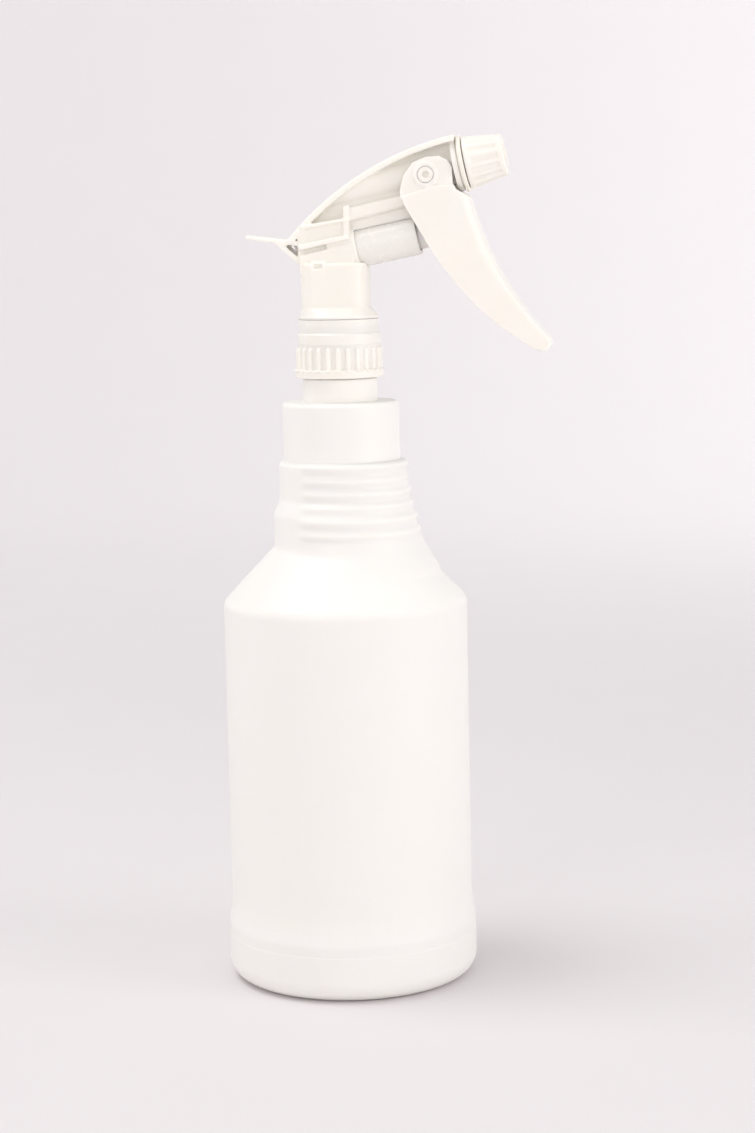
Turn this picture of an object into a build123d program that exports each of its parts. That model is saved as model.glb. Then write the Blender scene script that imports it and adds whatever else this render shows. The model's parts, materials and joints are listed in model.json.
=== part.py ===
"""Round spray bottle with an open-frame trigger sprayer, in millimetres.

The origin is the centre of the bottle's base, on the surface it stands on. +Z is up and +X is the way it
sprays. The bottle and its closure are round about Z. The pump barrel and the nozzle have parallel axes,
tilted up to +X.
"""
import os
from math import cos, radians, sin, tan

from build123d import *

# Bottle
wall = 1.0
panel_radius = 45.1
bead_step = 1.5
bead_height = 23.0
foot_corner = 7.5
foot_width = 2.6
push_up = 2.6
shoulder_height = 141.6
shoulder_slope = 46
shoulder_round = 7.0
grip_radius = 25.5
grip_height = 12.0
waist_radius = 23.1
waist_drop = 5.5
waist_height = 13.0
crown_lip = 0.8
crown_radius = 21.4
crown_height = 21.7
rib_count = 6
rib_drop = 0.9
rib_pitch = 5.2
rib_rise = 0.9
rib_round = 1.3
rib_fade = 126

# Neck finish and closure
neck_radius = 12.5
neck_wall = 1.9
neck_band = 1.15
neck_band_height = 8.3
finish_height = 17.0
thread_depth = 1.25
thread_pitch = 4.233
thread_turns = 1.5
thread_foot = 2.2
thread_tip = 1.0
neck_thread_drop = 10.5
cap_thread_drop = 12.3
cap_thread_turns = 1.25
cap_thread_relief = 0.1
collar_wall = 1.95
collar_height = 20.75
collar_panel = 1.8
collar_band_height = 3.2
collar_grip_top = 11.5
collar_grip_step = 0.5
collar_ring_step = 1.0
collar_crown_step = 1.25
collar_crown_height = 4.4
collar_crown_round = 1.0
collar_knurls = 26
knurl_radius = 1.15
knurl_step = 1.05
knurl_height = 8.1
gasket_thickness = 1.0
gasket_bore_gap = 2.0

# Tube retainer, ball and dip tube
tube_radius = 3.0
tube_wall = 0.8
socket_wall = 1.6
socket_depth = 12.0
socket_grip = 10.0
flange_thickness = 1.3
hub_radius = 8.6
stem_radius = 6.0
stem_cord = 0.6
stem_cord_drop = 2.4
seat_rise = 1.0
seat_angle = 45
ball_radius = 2.5
ball_lift = 2.0
ball_chamber_gap = 0.9
fluid_radius = 1.6
tube_above_floor = 2.5

# Pump
tilt = 11
barrel_bore = 5.8
barrel_wall = 1.2
barrel_length = 30.0
barrel_end = 1.5
barrel_front = (30.2, 29.6)
piston_reach = 10.0
piston_length = 29.0
piston_wall = 1.3
seal_depth = 0.6
wiper_place = 2.0
wiper_width = 2.2
cup_width = 3.2
cup_shoulder = 0.8
cup_root = 1.4
return_wire = 0.45
return_turns = 10
barrel_gasket_thickness = 0.9

# Frame of the sprayer, in x and in height over its underside
pivot = (33.95, 50.95)
nozzle_point = (48.0, 54.95)
roof_start = (-16.8, 29.2)
roof_middle = (13.8, 53.7)
roof_end = (43.6, 64.8)
rim_thickness = 2.2
rail_half_width = 5.7
rail_round = 1.2
rim_half_width = 8.5
tail_half_width = 6.5
web_half_width = 3.2
housing_radius = 5.6
trunnion_radius = 2.9
column_size = (23.9, 21.0)
column_centre = -0.55
column_corner = 5.5
column_foot = 1.2
column_shoulder = 4.2
column_top = 20.2
column_round = 0.7
plate_radius = 9.6
plate_ends = (-4.3, -2.3)
housing_ends = (-50.0, -2.4)
barrel_housing_wall = 1.3
barrel_housing_front = 22.4
barrel_housing_end = 2.8
trunnion_end_gap = 0.5
trunnion_dimple = 1.2
notch_place = -5.6
notch_drop = 1.0
notch_size = (3.4, 1.8)
intake_place = -4.5
intake_radius = 1.8
intake_levels = (10.6, 32.0)
elbow_level = 12.0
port_level = 13.2
passage_radius = 1.5
passage_level = 31.2
port_length = 5.3

# Nozzle
post_radius = 5.6
post_length = 8.2
post_thread_depth = 0.7
post_thread_pitch = 2.5
discharge_radius = 3.0
cap_rear_radius = 9.45
cap_front_radius = 7.4
cap_length = 14.2
cap_flutes = 14
valve_place = -34.0
disc_thickness = 1.2
stem_length = 4.0
valve_wire = 0.3
valve_coil_radius = 1.8
valve_turns = 7
tail_start = -20.0
adapter_flange = 10.25
post_wall = 2.4
post_thread_turns = 1.75
post_thread_start = 1.2
post_thread_foot = 1.3
post_thread_tip = 0.6
cap_rib_turns = 1.5
cap_thread_gap = 0.25
flute_radius = 0.7
insert_bore = 0.35
insert_radius = 3.0

# Trigger
trigger_half_width = 9.2
trigger_wall = 1.7
trigger_front_wall = 2.2
trigger_round = 3.0
trigger_taper = 2.0
ear_inner = 6.1
ear_outer = 8.4
boss_wall = 1.6
pad_half_width = 3.5

# Clearances
seat_gap = 0.05
running_gap = 0.06
piston_clearance = 0.05
edge_gap = 0.1
flange_gap = 0.15
free_gap = 0.3
collar_gap = 0.6

# Heights that follow from the sizes above
grip_start = shoulder_height + (panel_radius - grip_radius) * tan(radians(shoulder_slope))
grip_end = grip_start + grip_height
waist_start = grip_end + waist_drop
waist_end = waist_start + waist_height
crown_top = waist_end + crown_lip + crown_height
finish_start = crown_top + neck_band_height
neck_top = finish_start + finish_height
neck_bore = neck_radius - neck_wall
flange_bottom = neck_top + gasket_thickness
flange_top = flange_bottom + flange_thickness
panel_bottom = flange_top + flange_gap
collar_top = panel_bottom + collar_panel
frame_base = collar_top + collar_gap
thread_root = neck_radius + thread_depth + free_gap
collar_radius = thread_root + collar_wall
barrel_radius = barrel_bore + barrel_wall
tube_bore = tube_radius - tube_wall

over = 1.0
across = 20.0
slope = radians(tilt)
forward = (cos(slope), 0, sin(slope))
rearward = (-cos(slope), 0, -sin(slope))
nozzle_plane = Plane(
    origin=(nozzle_point[0], 0, frame_base + nozzle_point[1]), x_dir=forward, z_dir=(0, -1, 0)
)
barrel_plane = Plane(
    origin=(barrel_front[0], 0, frame_base + barrel_front[1]), x_dir=rearward, z_dir=(0, 1, 0)
)
upright_plane = Plane(origin=(0, 0, 0), x_dir=(0, 0, 1), z_dir=(0, 1, 0))


def turn(plane, points, mode=Mode.ADD):
    """Revolve an outline of (along, radius) points about the plane's own x axis."""
    with BuildSketch(plane) as section:
        with BuildLine():
            Polyline(*points, close=True)
        make_face()
    revolve(section.sketch, axis=Axis(plane.origin, plane.x_dir), mode=mode)


def slab(points, half_width, mode=Mode.ADD):
    """Extrude a side outline of (x, height over the frame's base) points to both sides."""
    with BuildSketch(Plane.XZ) as outline:
        with BuildLine():
            Polyline(*[(x, frame_base + height) for x, height in points], close=True)
        make_face()
    extrude(outline.sketch, amount=half_width, both=True, mode=mode)


def bar(plane, start, end, radius, mode=Mode.ADD):
    """A round bar, or a bore, along the plane's x axis."""
    turn(plane, [(start, 0), (end, 0), (end, radius), (start, radius)], mode)


def ring(plane, start, end, inner, outer, mode=Mode.ADD):
    """A square-edged ring about the plane's x axis."""
    turn(plane, [(start, inner), (end, inner), (end, outer), (start, outer)], mode)


def helical_rib(radius, rise, pitch, turns, foot, tip):
    """A screw thread's rib about Z, standing out by rise, or inwards where rise is negative."""
    bury = -0.3 if rise > 0 else 0.3
    with BuildLine() as path:
        Helix(pitch=pitch, height=pitch * turns, radius=radius)
    with BuildSketch(Plane(origin=path.line @ 0, x_dir=(1, 0, 0), z_dir=path.line % 0)) as profile:
        with BuildLine():
            Polyline((bury, -foot / 2), (rise, -tip / 2), (rise, tip / 2), (bury, foot / 2), close=True)
        make_face()
    return sweep(profile.sketch, path=path.line, is_frenet=True, mode=Mode.PRIVATE)


def coil(radius, wire_radius, length, turns):
    """A coil spring about Z, with its wire's ends at height 0 and length."""
    rise = length - 2 * wire_radius
    with BuildLine() as path:
        Helix(pitch=rise / turns, height=rise, radius=radius, center=(0, 0, wire_radius))
    with BuildSketch(Plane(origin=path.line @ 0, z_dir=path.line % 0)) as wire:
        Circle(wire_radius)
    return sweep(wire.sketch, path=path.line, is_frenet=True, mode=Mode.PRIVATE)


def on_axis(plane, along):
    """The location on a tilted axis where a part made about Z stands along it."""
    return Plane(origin=plane.from_local_coords((along, 0, 0)), x_dir=plane.z_dir, z_dir=plane.x_dir).location


def finish(part, name):
    """Name a finished piece and write it."""
    part.label = name
    export_step(part, "parts/" + name + ".step")


os.makedirs("parts", exist_ok=True)


# ---- Bottle: one blown shell, with a finger grip that stands out to the front
def bottle_round(inset, top_radius, top):
    """The round body, grown smaller by inset, up to a neck of the given radius and height."""
    foot_radius = panel_radius + bead_step - inset
    corner = foot_corner - inset
    outline = [
        (0, push_up + inset), (foot_radius - corner - foot_width - 3, push_up * 0.7 + inset),
        (foot_radius - corner - foot_width, inset), (foot_radius, inset),
        (foot_radius, bead_height), (panel_radius - inset, bead_height + bead_step),
        (panel_radius - inset, shoulder_height - inset * 0.4),
        (grip_radius - inset, grip_start - inset * 0.4),
        (grip_radius - inset, grip_end), (waist_radius - inset, waist_start),
        (waist_radius - inset, waist_end), (crown_radius - inset, waist_end + crown_lip),
        (crown_radius - inset, crown_top - inset), (top_radius, crown_top - inset), (top_radius, top),
    ]
    rounds = [2, 1.5, corner - 0.01, 0.8, 0.8, shoulder_round, 2.5, 2.5, 2.5, 0.3, 0.3, 1.2, 0.6]
    with BuildSketch(Plane.XZ) as section:
        with BuildLine() as edge:
            FilletPolyline(*outline, radius=rounds)
            Polyline((top_radius, top), (0, top), (0, push_up + inset))
        make_face()
    revolve(section.sketch, axis=Axis.Z)


grip_levels = [
    (grip_start - 12.0, 37.4, 37.2), (grip_start - 6.5, 34.2, 31.5), (grip_start - 0.5, 30.6, 25.4),
    (grip_start + 5.3, 27.9, 25.0), (grip_start + 11.5, 26.5, 24.8), (waist_start + 1.0, 24.7, 22.7),
    (waist_end - 0.2, 23.3, 22.6),
]


def bottle_grip(inset):
    """The swell at the front of the grip, a loft of circles that lean to +X."""
    with BuildPart(mode=Mode.PRIVATE) as swell:
        for level, front, rear in grip_levels:
            with BuildSketch(Plane.XY.offset(level)):
                with Locations(((front - rear) / 2, 0)):
                    Circle((front + rear) / 2 - inset)
        loft()
    return swell.part


def front_radius(level):
    """How far the grip reaches to the front at a height, and how far its swell leans."""
    for low, high in zip(grip_levels, grip_levels[1:]):
        if level <= high[0]:
            break
    share = (level - low[0]) / (high[0] - low[0])
    front = low[1] + share * (high[1] - low[1])
    rear = low[2] + share * (high[2] - low[2])
    return front, (front - rear) / 2


with BuildPart() as cavity:
    bottle_round(wall, neck_bore, neck_top + over)
    add(bottle_grip(wall))

with BuildPart() as bottle:
    bottle_round(0, neck_radius, neck_top)
    add(bottle_grip(0))
    fade = 1 / (1 - cos(radians(rib_fade)))
    for index in range(rib_count):
        rib_level = waist_end - rib_drop - index * rib_pitch
        reach, lean = front_radius(rib_level)
        rib_lean = lean + rib_rise * fade
        with Locations((rib_lean, 0, rib_level)):
            Torus(reach + rib_rise - rib_lean - rib_round, rib_round)
    bar(upright_plane, crown_top - over, finish_start, neck_radius + neck_band)
    neck_thread = helical_rib(
        neck_radius, thread_depth, thread_pitch, thread_turns, thread_foot, thread_tip
    )
    add(neck_thread.moved(Location((0, 0, neck_top - neck_thread_drop))))
    add(cavity.part, mode=Mode.SUBTRACT)
finish(bottle.part, "bottle")

# ---- Collar: knurled screw closure that hangs on the retainer's flange
collar_bottom = collar_top - collar_height
with BuildPart() as collar:
    band_top = collar_bottom + collar_band_height
    grip_top = collar_bottom + collar_grip_top
    crown_start = collar_top - collar_crown_height
    bar(upright_plane, collar_bottom, grip_top, collar_radius - collar_grip_step)
    bar(upright_plane, collar_bottom, band_top, collar_radius)
    bar(upright_plane, grip_top, crown_start, collar_radius - collar_ring_step)
    bar(upright_plane, crown_start, collar_top, collar_radius - collar_crown_step)
    fillet(collar.edges().filter_by(GeomType.CIRCLE).sort_by(Axis.Z)[-1], collar_crown_round)
    with BuildSketch(Plane.XY.offset(band_top)):
        with PolarLocations(collar_radius - knurl_step, collar_knurls):
            Circle(knurl_radius)
    extrude(amount=knurl_height)
    bar(upright_plane, collar_bottom - over, panel_bottom, thread_root, Mode.SUBTRACT)
    bar(upright_plane, collar_bottom, collar_top + over, hub_radius + free_gap, Mode.SUBTRACT)
    cap_thread = helical_rib(
        thread_root, cap_thread_relief - thread_depth, thread_pitch, cap_thread_turns, thread_foot, thread_tip
    )
    add(cap_thread.moved(Location((0, 0, neck_top - cap_thread_drop))))
finish(collar.part, "collar")

# ---- Neck gasket
with BuildPart() as neck_gasket:
    gasket_bore = tube_radius + socket_wall + gasket_bore_gap
    ring(upright_plane, neck_top, flange_bottom, gasket_bore, neck_radius - edge_gap)
finish(neck_gasket.part, "neck_gasket")

# ---- Tube retainer: flange, hub and stem, with the ball's seat and the dip tube's socket
seat_start = frame_base + seat_rise
seat_tip = seat_start - fluid_radius
ball_centre = seat_tip + ball_radius / sin(radians(seat_angle)) + seat_gap
stem_top = ball_centre + ball_radius + ball_lift + 0.4
chamber_radius = ball_radius + ball_chamber_gap
cord_place = stem_top - stem_cord_drop
groove_low = cord_place - stem_cord - seat_gap
groove_high = cord_place + stem_cord + seat_gap
groove_radius = stem_radius - 2 * stem_cord
socket_bottom = neck_top - socket_depth
socket_floor = socket_bottom + socket_grip
flange_radius = neck_radius + edge_gap
with BuildPart() as tube_retainer:
    turn(upright_plane, [
        (socket_bottom, tube_radius), (socket_bottom, tube_radius + socket_wall),
        (flange_bottom, tube_radius + socket_wall), (flange_bottom, flange_radius),
        (flange_top, flange_radius), (flange_top, hub_radius), (frame_base, hub_radius),
        (frame_base, stem_radius), (groove_low, stem_radius), (groove_low, groove_radius),
        (groove_high, groove_radius), (groove_high, stem_radius), (stem_top, stem_radius),
        (stem_top, chamber_radius),
        (seat_tip + chamber_radius, chamber_radius), (seat_start, fluid_radius), (socket_floor, fluid_radius),
        (socket_floor, tube_radius),
    ])
finish(tube_retainer.part, "tube_retainer")

with BuildPart() as retainer_seal:
    with Locations((0, 0, cord_place)):
        Torus(stem_radius - stem_cord + 0.02, stem_cord)
finish(retainer_seal.part, "retainer_seal")

with BuildPart() as intake_ball:
    with Locations((0, 0, ball_centre)):
        Sphere(ball_radius)
finish(intake_ball.part, "intake_ball")

# ---- Dip tube, cut at a slant over the base
tube_bottom = push_up + wall + tube_above_floor
with BuildPart() as dip_tube:
    ring(upright_plane, tube_bottom, socket_floor, tube_bore, tube_radius)
    slant = Plane(origin=(0, 0, tube_bottom + tube_radius), x_dir=(1, 0, 1), z_dir=(-1, 0, 1))
    split(bisect_by=slant, keep=Keep.TOP)
finish(dip_tube.part, "dip_tube")


# ---- Frame of the sprayer
def roof_outline(depth):
    """The arc of the roof, at a depth under its outer face, as its three points."""
    chord = (roof_end[0] - roof_start[0], roof_end[1] - roof_start[1])
    return [
        (roof_start[0] + depth * 0.9, roof_start[1] - depth * 0.45),
        (roof_middle[0] + depth * 0.49, roof_middle[1] - depth * 0.87),
        (roof_end[0] + chord[0] * 0.01, roof_end[1] - depth * 0.98),
    ]


def lift(point):
    """A frame point as (x, z)."""
    return (point[0], frame_base + point[1])


def under_roof(depth, floor_points, half_width, mode=Mode.ADD):
    """Extrude what lies between the roof's arc and the given lower points."""
    arc = [lift(point) for point in roof_outline(depth)]
    floor = [lift(point) for point in floor_points]
    with BuildSketch(Plane.XZ) as outline:
        with BuildLine():
            ThreePointArc(*arc)
            Polyline(arc[2], *floor, arc[0])
        make_face()
    extrude(outline.sketch, amount=half_width, both=True, mode=mode)


with BuildPart() as rim:
    under_roof(
        0, [(44.4, 58), (44.4, 40), (0, 10), (-12.5, 10), (-12.5, 19.2), (-22.4, 28.0)], rim_half_width
    )
    under_roof(
        rim_thickness, [(60, 58), (60, 0), (-10.6, 0), (-10.6, 19.9), (-18.0, 26.6)], across, Mode.SUBTRACT
    )
    with BuildSketch(Plane.XY.offset(frame_base)):
        with BuildLine():
            Polyline(
                (-24, -tail_half_width), (50, -rim_half_width), (50, rim_half_width),
                (-24, tail_half_width), close=True,
            )
        make_face()
    extrude(amount=4 * across, mode=Mode.INTERSECT)

with BuildPart() as housing:
    bar(nozzle_plane, *housing_ends, housing_radius)
    under_roof(1.0, [(44.6, 60), (50, 40), (0, 30)], across, Mode.INTERSECT)

with BuildPart() as column:
    foot_size = 2 * collar_radius - 3.4
    with BuildSketch(Plane.XY.offset(frame_base + column_foot)):
        RectangleRounded(foot_size, foot_size, foot_size / 2 - 0.01)
    with BuildSketch(Plane.XY.offset(frame_base + column_shoulder)):
        with Locations((column_centre, 0)):
            RectangleRounded(column_size[0], column_size[1], column_corner)
    loft()
    bar(upright_plane, frame_base, frame_base + column_foot, collar_radius - collar_crown_step)
    with BuildSketch(Plane.XY.offset(frame_base + column_shoulder)):
        with Locations((column_centre, 0)):
            RectangleRounded(column_size[0], column_size[1], column_corner)
    extrude(amount=column_top - column_shoulder)
    fillet(column.edges().group_by(Axis.Z)[-1], column_round)

with BuildPart() as rail:
    slab([(5.0, 34.9), (29.5, 40.6), (29.5, 45.0), (5.0, 40.0)], rail_half_width)
    rail_sides = rail.edges().filter_by(Axis.Y, reverse=True).group_by(Axis.Y)
    fillet(rail_sides[0].sort_by(Axis.Z)[1:] + rail_sides[-1].sort_by(Axis.Z)[1:], rail_round)

with BuildPart() as tail:
    slab([(-33.6, 31.0), (-14, 28.4), (-14, 26.6), (-33.6, 29.4)], tail_half_width)
    fillet(tail.edges().filter_by(Axis.Z).group_by(Axis.X)[0], tail_half_width - 0.1)

with BuildPart() as sprayer_body:
    add(rim.part)
    add(housing.part)
    add(column.part)
    add(rail.part)
    add(tail.part)
    under_roof(
        1.0,
        [(44.4, 47.5), (30.5, 41.5), (29.4, 36), (6, 31), (6, 18), (-12.5, 18), (-13.5, 21.5)],
        web_half_width,
    )
    slab([(-11.8, 32.6), (6, 35.3), (6, 36.5), (-12.4, 33.8)], 7.4)
    slab([(3.6, 29), (5.6, 29), (5.6, 41), (3.6, 40.4)], 7.0)
    slab([(-13.4, 21), (-13.6, 33.2), (5.6, 35.8), (5.6, 25), (-12, 21)], 6.2)
    slab([(-12.6, 25.0), (5.6, 28.7), (5.6, 30.4), (-13.0, 26.9)], 8.7)
    slab([(-12.4, 16), (7.5, 16), (7.5, 25.6), (2.5, 26.4), (-12.4, 23.1)], 8.3)
    bar(
        barrel_plane, barrel_housing_front, barrel_length + barrel_housing_end,
        barrel_radius + barrel_housing_wall,
    )
    bar(nozzle_plane, *plate_ends, plate_radius)
    trunnion_reach = ear_outer + trunnion_end_gap
    with Locations(Location((pivot[0], 0, frame_base + pivot[1]), (90, 0, 0))):
        Cylinder(trunnion_radius, 2 * trunnion_reach)
    for end in (-trunnion_reach, trunnion_reach):
        with Locations(Location((pivot[0], end, frame_base + pivot[1]), (90, 0, 0))):
            Cylinder(trunnion_dimple, 2 * trunnion_dimple, mode=Mode.SUBTRACT)
    with Locations((notch_place, 0, frame_base + column_top - notch_drop)):
        Box(notch_size[0], column_size[1] + over, notch_size[1], mode=Mode.SUBTRACT)
        Box(notch_size[0] + 2, column_size[1] - 2 * trunnion_dimple, 2 * notch_size[1])
    # Bores: stem, intake passage, barrel seat, port, discharge passage and discharge bore
    bar(upright_plane, frame_base - over, stem_top + edge_gap, stem_radius + seat_gap, Mode.SUBTRACT)
    bar(upright_plane, stem_top, frame_base + port_level, ball_radius - 0.5, Mode.SUBTRACT)
    intake_plane = Plane(origin=(intake_place, 0, frame_base), x_dir=(0, 0, 1), z_dir=(0, 1, 0))
    bar(intake_plane, *intake_levels, intake_radius, Mode.SUBTRACT)
    elbow_plane = Plane(
        origin=(intake_place, 0, frame_base + elbow_level), x_dir=(1, 0, 0), z_dir=(0, 1, 0)
    )
    bar(elbow_plane, 0, -intake_place, passage_radius, Mode.SUBTRACT)
    barrel_seat = barrel_length + barrel_gasket_thickness + edge_gap
    bar(barrel_plane, -barrel_radius - over, barrel_seat, barrel_radius + seat_gap, Mode.SUBTRACT)
    bar(barrel_plane, barrel_length, barrel_length + port_length, fluid_radius, Mode.SUBTRACT)
    passage_end = nozzle_plane.from_local_coords((valve_place - 2, 0, 0))
    passage_start = Vector(intake_place, 0, frame_base + passage_level)
    passage_run = passage_end - passage_start
    passage_plane = Plane(origin=passage_start, x_dir=passage_run, z_dir=(0, 1, 0))
    bar(passage_plane, 0, passage_run.length, passage_radius, Mode.SUBTRACT)
    bar(nozzle_plane, valve_place - 2.6, valve_place + over, passage_radius, Mode.SUBTRACT)
    bar(nozzle_plane, valve_place, 0, discharge_radius, Mode.SUBTRACT)
finish(sprayer_body.part, "sprayer_body")

# ---- Pump barrel, its gasket, the piston with its two seals, and the return spring
with BuildPart() as pump_barrel:
    turn(barrel_plane, [
        (0, barrel_bore), (0, barrel_radius - 0.4), (0.4, barrel_radius), (barrel_length, barrel_radius),
        (barrel_length, fluid_radius), (barrel_length - barrel_end, fluid_radius),
        (barrel_length - barrel_end, barrel_bore),
    ])
finish(pump_barrel.part, "pump_barrel")

with BuildPart() as barrel_gasket:
    ring(
        barrel_plane, barrel_length, barrel_length + barrel_gasket_thickness,
        fluid_radius + 0.6, barrel_radius - edge_gap,
    )
finish(barrel_gasket.part, "barrel_gasket")

piston_radius = barrel_bore - seal_depth
seal_seat = piston_radius - seal_depth
piston_rear = piston_length - piston_reach
cup_place = piston_rear - cup_shoulder - cup_width
piston_bore = piston_radius - piston_wall
with BuildPart() as piston:
    with BuildSketch(barrel_plane) as piston_section:
        with BuildLine():
            CenterArc((piston_radius - piston_reach, 0), piston_radius, 90, 90)
            Polyline(
                (piston_radius - piston_reach, piston_radius), (wiper_place, piston_radius),
                (wiper_place, seal_seat), (wiper_place + wiper_width, seal_seat),
                (wiper_place + wiper_width, piston_radius), (cup_place, piston_radius),
                (cup_place, seal_seat),
                (cup_place + cup_width, seal_seat), (cup_place + cup_width, piston_radius),
                (piston_rear, piston_radius), (piston_rear, piston_bore), (0, piston_bore), (0, 0),
                (-piston_reach, 0),
            )
        make_face()
    revolve(piston_section.sketch, axis=Axis(barrel_plane.origin, barrel_plane.x_dir))
finish(piston.part, "piston")

with BuildPart() as piston_wiper:
    ring(
        barrel_plane, wiper_place + seat_gap, wiper_place + wiper_width - seat_gap, seal_seat,
        barrel_bore - piston_clearance,
    )
finish(piston_wiper.part, "piston_wiper")

with BuildPart() as piston_cup:
    turn(barrel_plane, [
        (cup_place + seat_gap, seal_seat), (cup_place + seat_gap, barrel_bore - 0.5),
        (cup_place + 2.2, barrel_bore - piston_clearance),
        (cup_place + cup_width - seat_gap, barrel_bore - piston_clearance),
        (cup_place + cup_width - seat_gap, barrel_bore - seal_depth),
        (cup_place + cup_width - cup_root, seal_seat + 0.35), (cup_place + cup_width - cup_root, seal_seat),
    ])
finish(piston_cup.part, "piston_cup")

return_length = barrel_length - barrel_end - 2 * seat_gap
with BuildPart() as return_spring:
    return_coil = coil(piston_bore - return_wire - 0.2, return_wire, return_length, return_turns)
    add(return_coil.moved(on_axis(barrel_plane, seat_gap)))
finish(return_spring.part, "return_spring")

# ---- Discharge valve and its spring, in the housing
disc_rear = valve_place + seat_gap
disc_front = valve_place + disc_thickness
disc_radius = discharge_radius - 0.4
with BuildPart() as discharge_valve:
    turn(nozzle_plane, [
        (disc_rear, 0), (disc_rear, disc_radius), (disc_front, disc_radius), (disc_front, 1.0),
        (valve_place + stem_length, 0.9), (valve_place + stem_length, 0),
    ])
finish(discharge_valve.part, "discharge_valve")

valve_spring_length = tail_start - disc_front - 2 * seat_gap
with BuildPart() as discharge_spring:
    valve_coil = coil(valve_coil_radius, valve_wire, valve_spring_length, valve_turns)
    add(valve_coil.moved(on_axis(nozzle_plane, disc_front + seat_gap)))
finish(discharge_spring.part, "discharge_spring")

# ---- Nozzle adapter with its threaded post, spinner, seal, orifice insert and cap
post_bore = post_radius - post_wall
post_front = post_length - 0.3
with BuildPart() as nozzle_adapter:
    turn(nozzle_plane, [
        (tail_start, fluid_radius), (tail_start, discharge_radius - seat_gap),
        (-2.25, discharge_radius - seat_gap), (-2.25, post_radius + 1.2), (-1.8, post_radius + 1.2),
        (-1.8, adapter_flange - 0.3), (-1.5, adapter_flange), (-0.6, adapter_flange),
        (-0.3, adapter_flange - 0.3), (-0.3, post_radius), (post_front, post_radius), (post_front, post_bore),
        (1.5, post_bore), (1.5, fluid_radius),
    ])
    post_thread = helical_rib(
        post_radius, post_thread_depth, post_thread_pitch, post_thread_turns, post_thread_foot,
        post_thread_tip,
    )
    add(post_thread.moved(on_axis(nozzle_plane, post_thread_start)))
finish(nozzle_adapter.part, "nozzle_adapter")

with BuildPart() as spinner:
    turn(nozzle_plane, [
        (1.6, 0), (1.6, post_bore - seat_gap), (post_front - 0.9, post_bore - seat_gap),
        (post_front - 0.9, 2.0), (post_front, 2.0), (post_front, 1.1), (post_front + 0.8, 1.1),
        (post_front + 0.8, 0),
    ])
    with BuildSketch(Plane(origin=nozzle_plane.origin, x_dir=(0, 1, 0), z_dir=forward)) as feed_slots:
        with PolarLocations(post_bore, 3):
            Rectangle(1.4, 1.4)
    extrude(feed_slots.sketch, amount=across, mode=Mode.SUBTRACT)
finish(spinner.part, "spinner")

cap_bore = post_radius + post_thread_depth + cap_thread_gap
cap_floor = post_length + 1.0
with BuildPart() as nozzle_cap:
    turn(nozzle_plane, [
        (0, cap_bore), (0, cap_rear_radius - 0.5), (0.5, cap_rear_radius),
        (cap_length - 0.6, cap_front_radius), (cap_length, cap_front_radius - 0.6), (cap_length, 4.6),
        (cap_length - 1.4, 4.2), (cap_length - 1.4, 2.2), (cap_floor + 1.6, 1.2),
        (cap_floor + 1.6, insert_radius), (cap_floor, insert_radius), (cap_floor, cap_bore),
    ])
    flute_plane = Plane(origin=nozzle_plane.origin, x_dir=(0, 1, 0), z_dir=forward)
    with BuildPart(flute_plane, mode=Mode.PRIVATE) as flute:
        with BuildSketch(flute_plane.offset(1.6)):
            with Locations((cap_rear_radius + 0.25, 0)):
                Circle(flute_radius)
        with BuildSketch(flute_plane.offset(cap_length + edge_gap)):
            with Locations((cap_front_radius + 0.35, 0)):
                Circle(flute_radius)
        loft()
    for index in range(cap_flutes):
        cap_axis = Axis(nozzle_plane.origin, nozzle_plane.x_dir)
        add(flute.part.rotate(cap_axis, 360 / cap_flutes * index), mode=Mode.SUBTRACT)
    cap_rib = helical_rib(
        cap_bore, cap_thread_relief - post_thread_depth, post_thread_pitch, cap_rib_turns, post_thread_foot,
        post_thread_tip,
    )
    add(cap_rib.moved(on_axis(nozzle_plane, post_thread_start + post_thread_pitch / 2)))
finish(nozzle_cap.part, "nozzle_cap")

with BuildPart() as nozzle_seal:
    ring(nozzle_plane, post_length - 0.2, cap_floor - 0.02, insert_radius + 0.4, cap_bore - edge_gap)
finish(nozzle_seal.part, "nozzle_seal")

with BuildPart() as orifice_insert:
    ring(nozzle_plane, cap_floor + 0.02, cap_floor + 1.55, insert_bore, insert_radius)
finish(orifice_insert.part, "orifice_insert")


# ---- Trigger: a channel open to the rear, with two ears that ride on the trunnions
def blade(inset, half_width, mode=Mode.ADD):
    """The side outline of the blade, set in from its front face, extruded to both sides."""
    front_top = lift((49.3 - inset, 42.8 + inset * 0.2))
    front_middle = lift((59.6 - inset * 0.9, 16.2 - inset * 0.45))
    front_low = lift((77.2 - inset * 0.8, -8.0 - inset * 0.7))
    tip = lift((77.4 - inset * 1.4, -11.6 + inset * 0.4))
    low_rear = lift((74.6 - inset * 1.6, -13.0 - inset * 0.2))
    rear_low = lift((70.6, -11.2 - inset))
    rear_middle = lift((48.2, 7.2 - inset))
    rear_top = lift((33.9 - inset, 26.9 - inset))
    top = [lift((26.0 - inset, 40.5)), lift((25.2 - inset, 43.2)), lift((36.2, 46.6 + inset * 3))]
    top += [lift((43.8 - inset, 47.4 + inset * 2)), lift((45.0 - inset, 45.4)), lift((47.3 - inset, 44.2))]
    with BuildSketch(Plane.XZ) as outline:
        with BuildLine():
            ThreePointArc(front_top, front_middle, front_low)
            ThreePointArc(front_low, tip, low_rear)
            Line(low_rear, rear_low)
            ThreePointArc(rear_low, rear_middle, rear_top)
            Polyline(rear_top, *top, front_top)
        make_face()
    extrude(outline.sketch, amount=half_width, both=True, mode=mode)


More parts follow.
